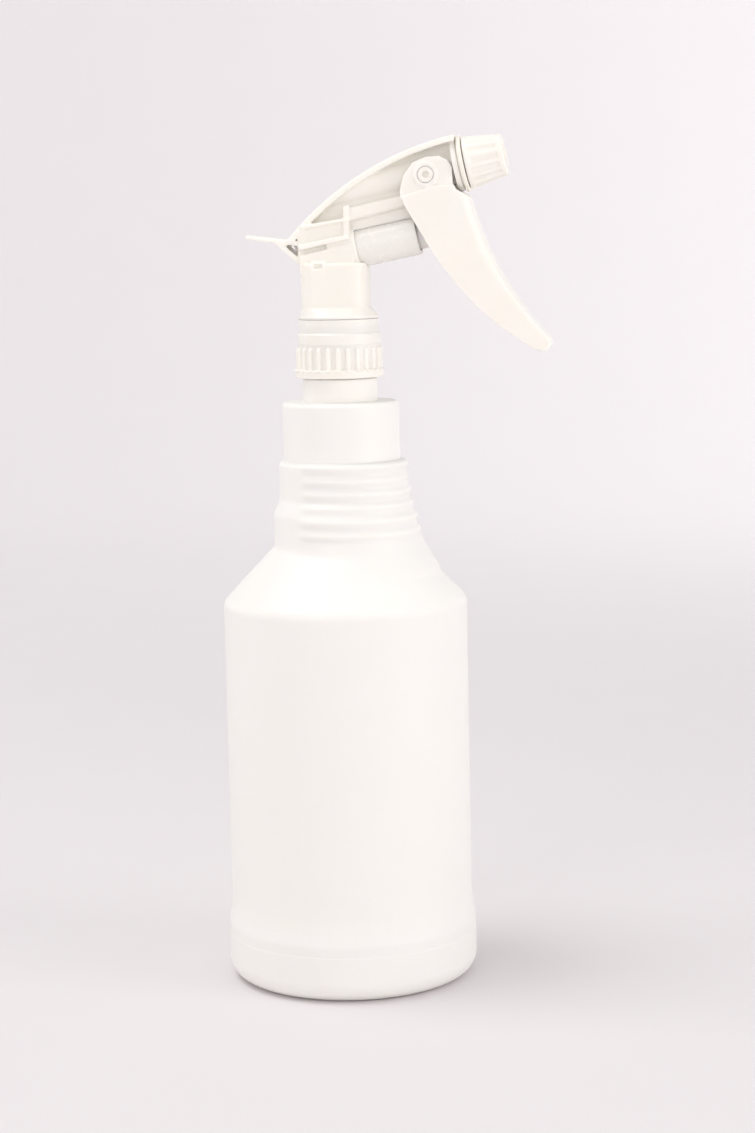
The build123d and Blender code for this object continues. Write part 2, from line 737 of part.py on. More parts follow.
with BuildPart() as ears:
    ear_points = [
        (24.6, 42.0), (24.6, 46.0), (26.0, 51.0), (29.4, 55.4), (34.0, 57.2), (38.8, 57.5), (41.9, 56.0),
        (43.5, 53.3), (43.7, 46.0),
    ]
    slab(ear_points, ear_outer)
    with Locations(Location((pivot[0], 0, frame_base + pivot[1]), (90, 0, 0))):
        Cylinder(trunnion_radius + boss_wall, 2 * trunnion_reach)

with BuildPart() as trigger:
    blade(0, trigger_half_width)
    curved = trigger.edges().filter_by(GeomType.CIRCLE)
    long_arcs = curved.filter_by(lambda edge: edge.length > 40)
    tip_arcs = curved.filter_by(lambda edge: edge.length < 20)
    fillet(long_arcs.group_by(Axis.X)[-1] + tip_arcs, trigger_round)
    with BuildSketch(Plane.YZ) as front_view:
        with BuildLine():
            Polyline(
                (-trigger_half_width, frame_base + 60), (-trigger_half_width, frame_base + 20),
                (-trigger_half_width + trigger_taper, frame_base - 16),
                (trigger_half_width - trigger_taper, frame_base - 16),
                (trigger_half_width, frame_base + 20), (trigger_half_width, frame_base + 60), close=True,
            )
        make_face()
    extrude(front_view.sketch, amount=5 * across, mode=Mode.INTERSECT)
    add(ears.part)
    channel = trigger_half_width - trigger_wall
    with BuildPart(mode=Mode.PRIVATE) as hollow:
        blade(trigger_front_wall, channel)
        with BuildSketch(Plane.YZ) as hollow_view:
            with BuildLine():
                Polyline(
                    (-channel, frame_base + 42.4), (-channel, frame_base + 20),
                    (-channel + trigger_taper, frame_base - 16), (channel - trigger_taper, frame_base - 16),
                    (channel, frame_base + 20), (channel, frame_base + 42.4), close=True,
                )
            make_face()
        extrude(hollow_view.sketch, amount=5 * across, mode=Mode.INTERSECT)
    add(hollow.part, mode=Mode.SUBTRACT)
    slab([(15, 40.0), (46.6, 40.0), (46.2, 44.6), (48, 70), (15, 70)], ear_inner, Mode.SUBTRACT)
    with Locations(Location((pivot[0], 0, frame_base + pivot[1]), (90, 0, 0))):
        Cylinder(trunnion_radius + running_gap, 2 * across, mode=Mode.SUBTRACT)
    pad_plane = Plane(origin=barrel_plane.origin, x_dir=forward, z_dir=(0, -1, 0))
    with BuildSketch(pad_plane) as pad:
        with BuildLine():
            Polyline(
                (piston_reach + edge_gap, -4.5), (22.0, -4.5), (20.5, 4.5), (piston_reach + edge_gap, 4.5),
                close=True,
            )
        make_face()
    extrude(pad.sketch, amount=pad_half_width, both=True)
finish(trigger.part, "trigger")
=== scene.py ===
"""Round spray bottle with a trigger sprayer: its fine shapes, finishes, light and camera.

Outlines are in millimetres in the object's own frame, +Z up and +X the way it sprays.
"""
import json
from math import acos, ceil, cos, pi, radians, sin, tan

import bpy
import numpy as np
from mathutils import Matrix, Vector


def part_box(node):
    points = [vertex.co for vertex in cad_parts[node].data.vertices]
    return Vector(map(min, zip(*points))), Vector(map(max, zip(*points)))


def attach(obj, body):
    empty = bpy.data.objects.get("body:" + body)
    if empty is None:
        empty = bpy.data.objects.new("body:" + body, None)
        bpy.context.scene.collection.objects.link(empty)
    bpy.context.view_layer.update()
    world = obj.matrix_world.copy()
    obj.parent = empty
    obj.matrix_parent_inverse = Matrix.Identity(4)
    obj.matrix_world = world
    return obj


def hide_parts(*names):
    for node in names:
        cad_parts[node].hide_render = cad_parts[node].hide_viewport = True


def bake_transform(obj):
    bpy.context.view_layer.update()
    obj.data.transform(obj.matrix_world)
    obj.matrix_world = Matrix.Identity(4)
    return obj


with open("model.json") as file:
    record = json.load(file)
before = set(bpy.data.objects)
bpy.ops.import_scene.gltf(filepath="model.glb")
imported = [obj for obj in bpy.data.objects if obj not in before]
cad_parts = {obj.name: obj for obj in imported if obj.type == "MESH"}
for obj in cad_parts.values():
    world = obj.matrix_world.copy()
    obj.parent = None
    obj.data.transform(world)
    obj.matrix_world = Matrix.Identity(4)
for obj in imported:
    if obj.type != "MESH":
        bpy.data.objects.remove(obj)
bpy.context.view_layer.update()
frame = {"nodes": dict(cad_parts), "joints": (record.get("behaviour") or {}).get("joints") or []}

# ==== Bottle
# One blow-moulded shell of natural high-density polyethylene, about 1 mm thick and milky, with a satin skin.
# The mould gives it a bead round the base, a ring foot round a push-up, a waisted grip with six finger ribs
# across its front, a parting line down front and back, and a neck with a right-hand thread.
mm = 0.001
wall = 1.0
bead_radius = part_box("bottle")[1].x / mm
neck_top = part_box("bottle")[1].z / mm
bead_step = 1.5
bead_rounding = 7.0
panel_radius = bead_radius - bead_step
bead_top = 23.0
insert_line = 17.0
insert_step = 0.1
foot_corner = 7.5
foot_width = 2.6
foot_slope = 3.0
push_up = 2.6
push_up_pole = 0.4
shoulder_height = 141.6
cone_rise = tan(radians(46))
grip_radius = 25.5
grip_start = shoulder_height + (panel_radius - grip_radius) * cone_rise
grip_end = grip_start + 12.0
grip_rounding = 2.5
waist_radius = 23.1
waist_start = grip_end + 5.5
waist_end = waist_start + 13.0
crown_step = 0.9
crown_radius = 21.4
crown_top = waist_end + 22.5
crown_rounding = 1.4
neck_radius = 12.5
neck_bore = 10.6
band_radius = 13.65
band_top = crown_top + 8.6
thread_pitch = 4.233
thread_foot = 2.2
thread_tip = 1.0
neck_thread_start = neck_top - 10.5
neck_thread_turns = 1.5
neck_thread_rise = 1.25
plain_bottom = 25.5
plain_top = 134.0

# How far the front and the rear of the grip stand out, as (height over grip_start, front, rear).
swell = np.array([
    (-12, 36.6, 34.5), (-6.5, 34.0, 30.2), (-0.5, 30.5, 24.8), (5.3, 27.9, 24.4), (11.5, 26.4, 24.4),
    (18.5, 24.6, 22.4), (30.3, 23.4, 22.3),
])
swell_blend = 0.7
rib_count = 6
rib_pitch = 4.85
rib_drop = 0.4
rib_rise = 0.8
rib_half_width = 2.1
rib_end = 125.0
rib_taper = 13.0
seam_rise = 0.12
seam_width = 0.3
least_bend = 0.01
least_run = 1e-6
facet = radians(11)
run_out = 0.06


def rounded(corners, step):
    """A line of (along, radius) points through (along, radius, rounding) corners, at most a step apart."""
    points = [np.array(corners[0][:2], float)]
    for before, here, after in zip(corners, corners[1:], corners[2:]):
        corner = np.array(here[:2], float)
        back, ahead = np.array(before[:2]) - corner, np.array(after[:2]) - corner
        back, ahead = back / np.linalg.norm(back), ahead / np.linalg.norm(ahead)
        bend = pi - acos(max(-1.0, min(1.0, float(back @ ahead))))
        if here[2] == 0 or bend < least_bend:
            points.append(corner)
            continue
        cut = here[2] * tan(bend / 2)
        centre = corner + (back + ahead) / np.linalg.norm(back + ahead) * here[2] / cos(bend / 2)
        first, last = corner + back * cut - centre, corner + ahead * cut - centre
        pieces = max(3, ceil(bend / facet), ceil(here[2] * bend / step))
        for share in np.linspace(0, 1, pieces + 1):
            points.append(centre + (sin((1 - share) * bend) * first + sin(share * bend) * last) / sin(bend))
    points.append(np.array(corners[-1][:2], float))
    line = [points[0]]
    for point in points[1:]:
        run = np.linalg.norm(point - line[-1])
        if run < least_run:
            continue
        start = line[-1]
        line += [start + (point - start) * share for share in np.linspace(0, 1, ceil(run / step) + 1)[1:]]
    return np.array(line)


def eased(low, high, value):
    """0 below low and 1 above high, smooth in between."""
    share = np.clip((value - low) / (high - low), 0, 1)
    return share * share * (3 - 2 * share)


def curve_through(knots, heights, value):
    """A smooth curve through the knots that never overshoots them."""
    width = np.diff(knots)
    rise = np.diff(heights) / width
    same_way = rise[:-1] * rise[1:] > 0
    slopes = np.zeros(len(knots))
    slopes[1:-1][same_way] = 2 * (rise[:-1] * rise[1:])[same_way] / (rise[:-1] + rise[1:])[same_way]
    index = np.clip(np.searchsorted(knots, value) - 1, 0, len(knots) - 2)
    share = np.clip((value - knots[index]) / width[index], 0, 1)
    left = 1 - share
    return (
        heights[index] * (1 + 2 * share) * left ** 2 + slopes[index] * width[index] * share * left ** 2
        + heights[index + 1] * share * share * (3 - 2 * share)
        - slopes[index + 1] * width[index] * share * share * left
    )


def thread(along, angle, start, pitch, turns, rise, foot, tip):
    """How far a screw thread stands out at each place, with both of its ends run out."""
    height = np.zeros(np.broadcast_shapes(along.shape, angle.shape))
    for lap in range(ceil(turns) + 1):
        wound = angle / (2 * pi) + lap
        ends = eased(0, run_out, wound) * (1 - eased(turns - run_out, turns, wound))
        off_centre = np.abs(along - start - wound * pitch)
        height = np.maximum(height, rise * ends * (1 - eased(tip / 2, foot / 2, off_centre)))
    return height


def skin(name, rows, ring=False, lid=True):
    """A smooth mesh from rows of points that each go once round. The rows join up, or end in caps."""
    rows = np.asarray(rows, float) * mm
    count, width = rows.shape[:2]
    index = np.arange(count * width).reshape(count, width)
    low, high = (index, np.roll(index, -1, 0)) if ring else (index[:-1], index[1:])
    corners = [low, np.roll(low, -1, 1), np.roll(high, -1, 1), high]
    faces = np.stack(corners, -1).reshape(-1, 4).tolist()
    if not ring:
        faces.append(index[0][::-1].tolist())
        if lid:
            faces.append(index[-1].tolist())
    first, second, third, fourth = (rows.reshape(-1, 3)[corner.ravel()] for corner in corners)
    volume = np.sum(first * np.cross(second, third)) + np.sum(first * np.cross(third, fourth))
    if volume < 0:
        faces = [face[::-1] for face in faces]
    mesh = bpy.data.meshes.new(name)
    mesh.from_pydata(rows.reshape(-1, 3).tolist(), [], faces)
    mesh.polygons.foreach_set("use_smooth", [True] * len(mesh.polygons))
    mesh.update()
    piece = bpy.data.objects.new(name, mesh)
    bpy.context.scene.collection.objects.link(piece)
    return piece


def fit(piece, finish, body, slot, *nodes):
    """Give a piece its finish, and let it ride on a body in place of its CAD nodes."""
    piece.data.materials.clear()
    piece.data.materials.append(finish)
    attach(piece, body)
    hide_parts(*nodes)


class Wire:
    """An output of one of a finish's nodes. Sums on it add Math nodes."""

    def __init__(self, finish, socket):
        self.finish = finish
        self.socket = socket

    def sum(self, operation, first, second):
        return self.finish.node("ShaderNodeMath", {"operation": operation}, {0: first, 1: second})

    def __add__(self, other):
        return self.sum("ADD", self, other)

    def __mul__(self, other):
        return self.sum("MULTIPLY", self, other)

    def __sub__(self, other):
        return self.sum("SUBTRACT", self, other)

    def __rsub__(self, other):
        return self.sum("SUBTRACT", other, self)

    __radd__ = __add__
    __rmul__ = __mul__


# A Mix node's sockets for colours, which have the same names as its sockets for numbers.
mix_first = 6
mix_second = 7
mix_result = 2


class Finish:
    """A material: one Principled shader with fixed values, and the nodes that vary it over the surface."""

    def __init__(self, name, **fixed):
        self.material = bpy.data.materials.new(name)
        self.material.use_nodes = True
        self.tree = self.material.node_tree
        self.shader = self.tree.nodes["Principled BSDF"]
        for socket, value in fixed.items():
            self.shader.inputs[socket.replace("_", " ")].default_value = value
        self.place = self.node("ShaderNodeTexCoord", output="Object")

    def node(self, kind, settings=None, sockets=None, output=0):
        """A node of any kind: its settings are made first, then its sockets take values or wires."""
        node = self.tree.nodes.new(kind)
        for name, value in (settings or {}).items():
            setattr(node, name, value)
        for name, value in (sockets or {}).items():
            self.feed(node.inputs[name], value)
        return Wire(self, node.outputs[output])

    def feed(self, socket, value):
        if isinstance(value, Wire):
            self.tree.links.new(value.socket, socket)
        else:
            socket.default_value = value

    def noise(self, size, detail=2.0, stretch=(1, 1, 1)):
        """Soft noise with blotches of about the given size in millimetres."""
        scaled = self.node("ShaderNodeMapping", {}, {"Vector": self.place, "Scale": stretch})
        sockets = {"Vector": scaled, "Scale": 1 / (size * mm), "Detail": detail}
        return self.node("ShaderNodeTexNoise", {}, sockets)

    def between(self, low, high, value):
        """0 below low and 1 above high."""
        smooth = {"interpolation_type": "SMOOTHSTEP"}
        return self.node("ShaderNodeMapRange", smooth, {0: value, 1: low, 2: high})

    def blend(self, share, first, second):
        """A colour between two, each of them three values or a wire."""
        first, second = ((*end, 1) if isinstance(end, tuple) else end for end in (first, second))
        sockets = {0: share, mix_first: first, mix_second: second}
        return self.node("ShaderNodeMix", {"data_type": "RGBA"}, sockets, output=mix_result)

    def level(self):
        """Height over the floor in metres, at rest."""
        return self.node("ShaderNodeSeparateXYZ", {}, {"Vector": self.place}, output=2)

    def edges(self):
        """1 along outward edges and corners, where the ivory finish paints a highlight."""
        painted_edge_highlight = self.node("ShaderNodeNewGeometry", output="Pointiness")
        return self.between(0.515, 0.56, painted_edge_highlight)

    def relief(self, height, depth):
        """Feed the shader's normal from a height, where a height of 1 stands depth millimetres high."""
        bump = self.node("ShaderNodeBump", {}, {"Height": height, "Strength": 1.0, "Distance": depth * mm})
        self.feed(self.shader.inputs["Normal"], bump)

    def done(self, colour, roughness):
        self.feed(self.shader.inputs["Base Color"], colour)
        self.feed(self.shader.inputs["Roughness"], roughness)
        return self.material


def bottle_corners(inset):
    """The bottle's section from its axis up to the top of the crown, grown smaller by inset."""
    foot = bead_radius - inset
    corner = foot_corner - inset
    line_step = insert_step if inset == 0 else 0.0
    return [
        (push_up + inset, push_up_pole, 0),
        (push_up * 0.7 + inset, foot - corner - foot_width - foot_slope, 2),
        (inset, foot - corner - foot_width, 1.5), (inset, foot, corner - 0.01),
        (insert_line, foot, 0.3), (insert_line + 0.5, foot - line_step, 0.3),
        (bead_top - 2.0, foot - line_step, bead_rounding),
        (bead_top + bead_step + 3.0, panel_radius - inset, bead_rounding),
        (shoulder_height - inset * 0.4, panel_radius - inset, 5.0),
        (grip_start - inset * 0.4, grip_radius - inset, grip_rounding),
        (grip_end, grip_radius - inset, grip_rounding), (waist_start, waist_radius - inset, grip_rounding),
        (waist_end, waist_radius - inset, 0.6), (waist_end + crown_step, crown_radius - inset, 0.6),
        (crown_top - inset, crown_radius - inset, crown_rounding - inset * 0.8),
    ]


even = np.linspace(0, 2 * pi, 180, endpoint=False)
beside_seam = np.radians([0.3, 0.7, 1.1, 178.9, 179.3, 179.7])
bottle_columns = np.sort(np.concatenate([even, beside_seam, 2 * pi - beside_seam]))


def bottle_skin(inset, step):
    """One face of the bottle's wall, from its axis to the crown's shoulder, as rows of points."""
    columns = bottle_columns
    line = rounded(bottle_corners(inset) + [(crown_top - inset, neck_radius + 2, 0)], step)
    run = np.gradient(line, axis=0)
    run /= np.linalg.norm(run, axis=1)[:, None]
    along, radius = line[:, :1], line[:, 1:]
    front = curve_through(swell[:, 0], swell[:, 1], along - grip_start)
    rear = curve_through(swell[:, 0], swell[:, 2], along - grip_start)
    lean, size = (front - rear) / 2, (front + rear) / 2 - inset
    swollen = lean * np.cos(columns) + np.sqrt(size ** 2 - (lean * np.sin(columns)) ** 2)
    gap = radius - swollen
    gripped = eased(grip_start - 12, grip_start - 8, along)
    gripped = gripped * (1 - eased(waist_end - 0.5, waist_end + 0.3, along))
    radius = radius + gripped * (np.sqrt(gap ** 2 + swell_blend ** 2) - gap - 0.1) / 2
    rise = np.zeros_like(radius)
    for index in range(rib_count):
        off_centre = (along - (waist_end - rib_drop - index * rib_pitch)) / rib_half_width
        rise += rib_rise * np.where(np.abs(off_centre) < 1, np.cos(off_centre * pi / 2) ** 2, 0)
    off_front = np.degrees(np.abs((columns + pi) % (2 * pi) - pi))
    rise = rise * (1 - eased(rib_end - rib_taper, rib_end, off_front))
    if inset == 0:
        from_seam = radius * np.abs(np.sin(columns)) / seam_width
        rise = rise + seam_rise * np.exp(-from_seam ** 2) * eased(0, 1, along - insert_line - 1)
        rise = rise - seam_rise * eased(bead_radius - 2, bead_radius - 0.5, radius)
    along = along - run[:, 1:] * rise
    radius = radius + run[:, :1] * rise
    return np.stack([radius * np.cos(columns), radius * np.sin(columns), along + 0 * columns], -1)


def turned(line, columns, shape=None, origin=(0, 0, 0), axis=(0, 0, 1), side=(1, 0, 0)):
    """Rows of points round an axis from (along, radius) points; shape gives the real radius at each place."""
    along, radius = line[:, :1], line[:, 1:] + 0 * columns
    if shape is not None:
        radius = shape(along, radius, columns)
    ring = np.cos(columns)[:, None] * side + np.sin(columns)[:, None] * np.cross(axis, side)
    return origin + along[:, :, None] * axis + radius[:, :, None] * ring


def neck_thread(along, radius, angle):
    """The bottle's screw thread on its neck."""
    return radius + thread(
        along, angle, neck_thread_start, thread_pitch, neck_thread_turns, neck_thread_rise, thread_foot,
        thread_tip,
    )


# The plain panel between the bead and the shoulder keeps one row in eight.
outside = bottle_skin(0, 0.7)
height = outside[:, 0, 2]
plain = (height > plain_bottom) & (height < plain_top)
outside = outside[~plain | (np.arange(len(height)) % 8 == 0)]
inside = bottle_skin(wall, 2.5)
neck = rounded([
    (crown_top, neck_radius + 1.9, 0), (crown_top, band_radius, 0.5), (band_top, band_radius, 0.4),
    (band_top, neck_radius, 0.25), (neck_top - 10.8, neck_radius, 0),
], 0.7)
threaded = rounded([
    (neck_top - 10.6, neck_radius, 0), (neck_top, neck_radius, 0.5), (neck_top, neck_bore, 0.5),
    (neck_top - 3, neck_bore, 0),
], 0.4)
bore = rounded([
    (neck_top - 4, neck_bore, 0), (crown_top - wall, neck_bore, 1.0), (crown_top - wall, neck_radius + 2, 0),
], 2.0)
bottle_rows = np.concatenate([
    outside, turned(neck, bottle_columns), turned(threaded, bottle_columns, neck_thread),
    turned(bore, bottle_columns), inside[::-1],
])
bottle = skin("bottle_shell", bottle_rows)

milky = Finish(
    "natural_polyethylene", IOR=1.5, Subsurface_Weight=0.5, Subsurface_Scale=0.0012, Specular_IOR_Level=0.4,
)
milky.shader.inputs["Subsurface Radius"].default_value = (1.0, 0.95, 0.85)
cloud = milky.noise(28, 3.0)
drawn = milky.noise(3.5, 3.0, (1, 1, 0.12))
skin_grain = milky.noise(0.45, 2.0)
height_over_floor = milky.level()
scuffed = milky.between(0.55, 0.75, milky.noise(1.6, 6.0, (1, 1, 0.3))) * (
    1 - milky.between(0.004, 0.026, height_over_floor)
)
milky.relief(drawn * 0.6 + skin_grain * 0.25 + cloud * 1.2, 0.10)
polyethylene = milky.done(
    milky.blend(cloud * 0.8 + scuffed * 0.3, (0.915, 0.897, 0.848), (0.935, 0.917, 0.868)),
    0.36 + drawn * 0.10 + scuffed * 0.25,
)
fit(bottle, polyethylene, "bottle", "bottle_shell", "bottle")

# ==== Tube retainer, pump and nozzle parts that keep their CAD shape
# The retainer snaps into the sprayer's column, holds the clear dip tube and seats a steel ball. Like the
# piston, the discharge valve, the spinner and the orifice insert, it is moulded in natural polypropylene. The
# gaskets and the nozzle's seal are foam, and the retainer's and the piston's seals are rubber.


def plain_finish(name, colour, roughness, spread, size, **fixed):
    """A plain finish with slight blotches and a fine grain."""
    finish = Finish(name, **fixed)
    blotch = finish.noise(size, 3.0)
    finish.relief(finish.noise(0.4, 2.0), 0.02)
    darker = tuple(value * (1 - spread) for value in colour)
    return finish.done(finish.blend(blotch, darker, colour), roughness + blotch * 0.08)


natural = plain_finish(
    "natural_polypropylene", (0.86, 0.85, 0.81), roughness=0.32, spread=0.06, size=6,
    Subsurface_Weight=0.3, Subsurface_Scale=0.002,
)
clear = plain_finish(
    "clear_polyethylene_tube", (0.93, 0.94, 0.94), roughness=0.22, spread=0.03, size=8,
    Transmission_Weight=0.55, IOR=1.5,
)
foam = plain_finish("pale_foamed_gasket", (0.80, 0.79, 0.75), roughness=0.7, spread=0.1, size=1.2)
rubber = plain_finish("black_seal_rubber", (0.03, 0.03, 0.032), roughness=0.45, spread=0.3, size=1.5)
steel = plain_finish("bright_steel", (0.62, 0.61, 0.60), roughness=0.18, spread=0.1, size=2.0, Metallic=1.0)
carried = {
    "tube_retainer": natural, "retainer_seal": rubber, "neck_gasket": foam, "dip_tube": clear,
    "intake_ball": steel, "barrel_gasket": foam, "piston": natural, "piston_cup": rubber,
    "piston_wiper": rubber, "discharge_valve": natural, "spinner": natural, "nozzle_seal": foam,
    "orifice_insert": natural,
}
for node, finish in carried.items():
    frame["nodes"][node].material_slots[0].material = finish

# ==== Collar
# An injection-moulded polypropylene screw closure that hangs on the retainer's flange. It has a plain rim at
# the bottom, a ring of round-topped grip ribs over it, a smooth stepped shoulder, and a thread inside.
collar_low, collar_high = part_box("collar")
collar_bottom = collar_low.z / mm
collar_top = collar_high.z / mm
collar_radius = collar_high.y / mm
knurls = 26
knurl_rise = 0.95
knurl_half_width = 0.9
knurl_start = collar_bottom + 3.0
knurl_end = collar_bottom + 11.2
knurl_root = collar_radius - 1.05
rim_radius = collar_radius - 0.02
belt_radius = collar_radius - 0.75
top_radius = collar_radius - 1.3
panel_bottom = collar_top - 1.8
panel_bore = 8.9
thread_root = 14.05
collar_thread_start = neck_top - 12.3
collar_thread_turns = 1.25
collar_thread_rise = 1.15
same_face = 0.01
collar_columns = np.linspace(0, 2 * pi, knurls * 18, endpoint=False)


def collar_shape(along, radius, angle):
    """The grip ribs outside and the screw thread inside."""
    off_rib = (angle * knurls / (2 * pi) + 0.5) % 1 - 0.5
    across = off_rib * 2 * pi * collar_radius / knurls / knurl_half_width
    end = np.maximum(along - (knurl_end - knurl_half_width), 0) / knurl_half_width
    dome = np.sqrt(np.clip(1 - across ** 2 - end ** 2, 0, 1))
    outer = radius > top_radius
    ribbed = outer * (along > knurl_start - 0.3) * (along < knurl_end + 0.3)
    inner = (np.abs(radius - thread_root) < same_face) * (along < panel_bottom - 0.5)
    screw = thread(
        along, angle, collar_thread_start, thread_pitch, collar_thread_turns, collar_thread_rise, thread_foot,
        thread_tip,
    )
    return radius + ribbed * knurl_rise * dome ** 0.8 - inner * screw


collar_line = rounded([
    (collar_bottom, thread_root + 0.5, 0), (collar_bottom, rim_radius, 0.55),
    (knurl_start, rim_radius, 0.5), (collar_bottom + 3.3, knurl_root, 0.3),
    (collar_bottom + 11.9, knurl_root, 0.3), (collar_bottom + 12.3, belt_radius, 0.25),
    (collar_top - 4.9, belt_radius, 0.4), (collar_top - 4.3, top_radius, 0.3),
    (collar_top + 0.5, top_radius, 0.3), (collar_top + 0.5, panel_bore, 0.3), (panel_bottom, panel_bore, 0.3),
    (panel_bottom, thread_root, 0.6), (collar_bottom + 0.5, thread_root, 0),
], 0.4)
collar = skin("screw_collar", turned(collar_line, collar_columns, collar_shape), ring=True)


def ivory_finish(name, colour, roughness):
    """Moulded polypropylene: cream and a little see-through, satin, with fine pits, handling rubs in the
    roughness, and a painted highlight along outward edges.
    """
    ivory = Finish(
        name, IOR=1.49, Subsurface_Weight=0.6, Subsurface_Scale=0.0016, Specular_IOR_Level=0.45,
    )
    ivory.shader.inputs["Subsurface Radius"].default_value = (0.9, 0.88, 0.8)
    flow = ivory.noise(14, 3.0)
    pits = ivory.noise(0.35, 3.0)
    rubbed = ivory.between(0.56, 0.72, ivory.noise(2.2, 6.0))
    ivory.relief(pits * 0.5 + ivory.noise(2.5, 2.0), 0.035)
    pale = tuple(min(1.0, value * 1.035) for value in colour)
    deep = tuple(value * factor for value, factor in zip(colour, (0.97, 0.955, 0.92)))
    toned = ivory.blend(flow, deep, colour)
    # Outward edges are painted paler: a painted highlight where edges catch the light.
    painted_edge_highlight = ivory.blend(ivory.edges() * 0.6, toned, pale)
    return ivory.done(painted_edge_highlight, roughness + rubbed * 0.12 - flow * 0.05)


cream = (0.93, 0.912, 0.855)
fit(collar, ivory_finish("ivory_closure_plastic", cream, 0.36), "collar", "ivory_closure", "collar")

# ==== Sprayer frame
# One injection moulding of ivory polypropylene: the column over the collar, the open web with its ribs and
# rails, the curved roof rim, the discharge housing, the thumb spur at the rear and the plate behind the
# nozzle.


def moulded(name, node, voxel, passes, keep):
    """A copy of a CAD node with softened edges: remade in voxels, smoothed, and thinned to a share."""
    piece = bpy.data.objects.new(name, frame["nodes"][node].data.copy())
    bpy.context.scene.collection.objects.link(piece)
    weld = piece.modifiers.new("weld", "WELD")
    weld.merge_threshold = 0.01 * mm
    remesh = piece.modifiers.new("remesh", "REMESH")
    remesh.mode = "VOXEL"
    remesh.voxel_size = voxel * mm
    soften = piece.modifiers.new("soften", "SMOOTH")
    soften.factor = 0.5
    soften.iterations = passes
    thin = piece.modifiers.new("thin", "DECIMATE")
    thin.ratio = keep
    bpy.context.view_layer.update()
    mesh = bpy.data.meshes.new_from_object(piece.evaluated_get(bpy.context.evaluated_depsgraph_get()))
    piece.modifiers.clear()
    piece.data = mesh
    mesh.polygons.foreach_set("use_smooth", [True] * len(mesh.polygons))
    mesh.update()
    return piece


sprayer_frame = moulded("sprayer_frame", "sprayer_body", voxel=0.3, passes=4, keep=0.38)
fit(sprayer_frame, ivory_finish("ivory_frame_plastic", cream, 0.34), "sprayer", "ivory_frame", "sprayer_body")

# ==== Pump barrel
# A separate cylinder moulding, a little cooler and glossier than the frame that holds it by its rear end. It
# is open at the front for the piston, and a port leads through its closed end.
joints = {joint["name"]: joint for joint in frame["joints"]}
back = np.array(joints["piston_stroke"]["axis"])
across = np.array((0.0, 1.0, 0.0))
barrel_low, barrel_high = (np.array(corner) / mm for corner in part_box("pump_barrel"))
barrel_length = 30.0
barrel_radius = 7.0
barrel_bore = 5.8
barrel_end = 1.5
port_radius = 1.6
barrel_front = (barrel_low + barrel_high) / 2 - back * barrel_length / 2
barrel_columns = np.linspace(0, 2 * pi, 128, endpoint=False)
barrel_line = rounded([
    (1, barrel_bore, 0), (0, barrel_bore, 0.25), (0, barrel_radius, 0.45),
    (barrel_length, barrel_radius, 0.3), (barrel_length, port_radius, 0.2),
    (barrel_length - barrel_end, port_radius, 0.2),
    (barrel_length - barrel_end, barrel_bore, 0.3), (2, barrel_bore, 0),
], 0.6)
barrel_rows = turned(barrel_line, barrel_columns, None, barrel_front, back, across)
barrel = skin("pump_cylinder", barrel_rows, ring=True)
barrel_plastic = ivory_finish("pale_barrel_plastic", (0.90, 0.885, 0.845), 0.28)
fit(barrel, barrel_plastic, "sprayer", "ivory_barrel", "pump_barrel")

# ==== Springs
# Two steel coils: one inside the piston, which returns the trigger, and one in front of the discharge valve,
# which shuts it. Each sits between a seat in the sprayer and the piece that it pushes, and keeps its CAD
# shape.


def spring(name, node, fixed_end, moving_end):
    """A steel copy of a CAD spring in its CAD shape and place, in place of its CAD node. Its ends are not
    used.
    """
    piece = bpy.data.objects.new(name, frame["nodes"][node].data.copy())
    bpy.context.scene.collection.objects.link(piece)
    piece.data.materials.clear()
    piece.data.materials.append(steel)
    fixed_end * mm
    moving_end * mm
    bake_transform(piece)
    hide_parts(node)


spring_seat = barrel_front + back * (barrel_length - barrel_end)
spring("return_coil", "return_spring", spring_seat, barrel_front)
forward = np.array(joints["nozzle_turn"]["axis"])
nozzle_root = np.array(joints["nozzle_turn"]["pos_m"]) / mm
tail_start = -20.0
disc_front = -32.8
adapter_tail = nozzle_root + forward * tail_start
valve_disc = nozzle_root + forward * disc_front
spring("discharge_coil", "discharge_spring", adapter_tail, valve_disc)

# ==== Nozzle
# The adapter is a moulding with a thin round flange and a threaded post. The cap is a tapered moulding with
# flutes for the fingers, a plain rim and a dished face with the spray hole. It turns on the post's thread.
post_radius = 5.6
post_length = 7.9
post_bore = 3.2
post_floor = 1.5
flange_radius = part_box("nozzle_adapter")[1].y / mm
flange_front = -0.3
flange_rear = -1.8
groove_floor = -2.25
groove_radius = 9.2
bush_radius = 2.95
cap_thread_pitch = 2.5
cap_thread_foot = 1.3
cap_thread_tip = 0.6
adapter_columns = np.linspace(0, 2 * pi, 112, endpoint=False)


def cap_thread(along, angle, start, turns, rise):
    """The thread that the post and the cap share."""
    return thread(along, angle, start, cap_thread_pitch, turns, rise, cap_thread_foot, cap_thread_tip)


def post_shape(along, radius, angle):
    """The thread on the post."""
    on_post = (np.abs(radius - post_radius) < same_face) * (along > 0.5)
    return radius + on_post * cap_thread(along, angle, start=1.2, turns=1.75, rise=0.7)


adapter_line = rounded([
    (-5, port_radius, 0), (tail_start, port_radius, 0.1), (tail_start, bush_radius, 0.3),
    (groove_floor, bush_radius, 0.1), (groove_floor, groove_radius, 0.2), (flange_rear, groove_radius, 0.1),
    (flange_rear, flange_radius, 0.4), (flange_front, flange_radius, 0.4), (flange_front, post_radius, 0.25),
    (post_length, post_radius, 0.3), (post_length, post_bore, 0.2), (post_floor, post_bore, 0.1),
    (post_floor, port_radius, 0.1), (-4, port_radius, 0),
], 0.5)
adapter_rows = turned(adapter_line, adapter_columns, post_shape, nozzle_root, forward, across)
adapter = skin("nozzle_post", adapter_rows, ring=True)
adapter_plastic = ivory_finish("ivory_adapter_plastic", (0.90, 0.875, 0.80), 0.30)
fit(adapter, adapter_plastic, "sprayer", "ivory_barrel", "nozzle_adapter")

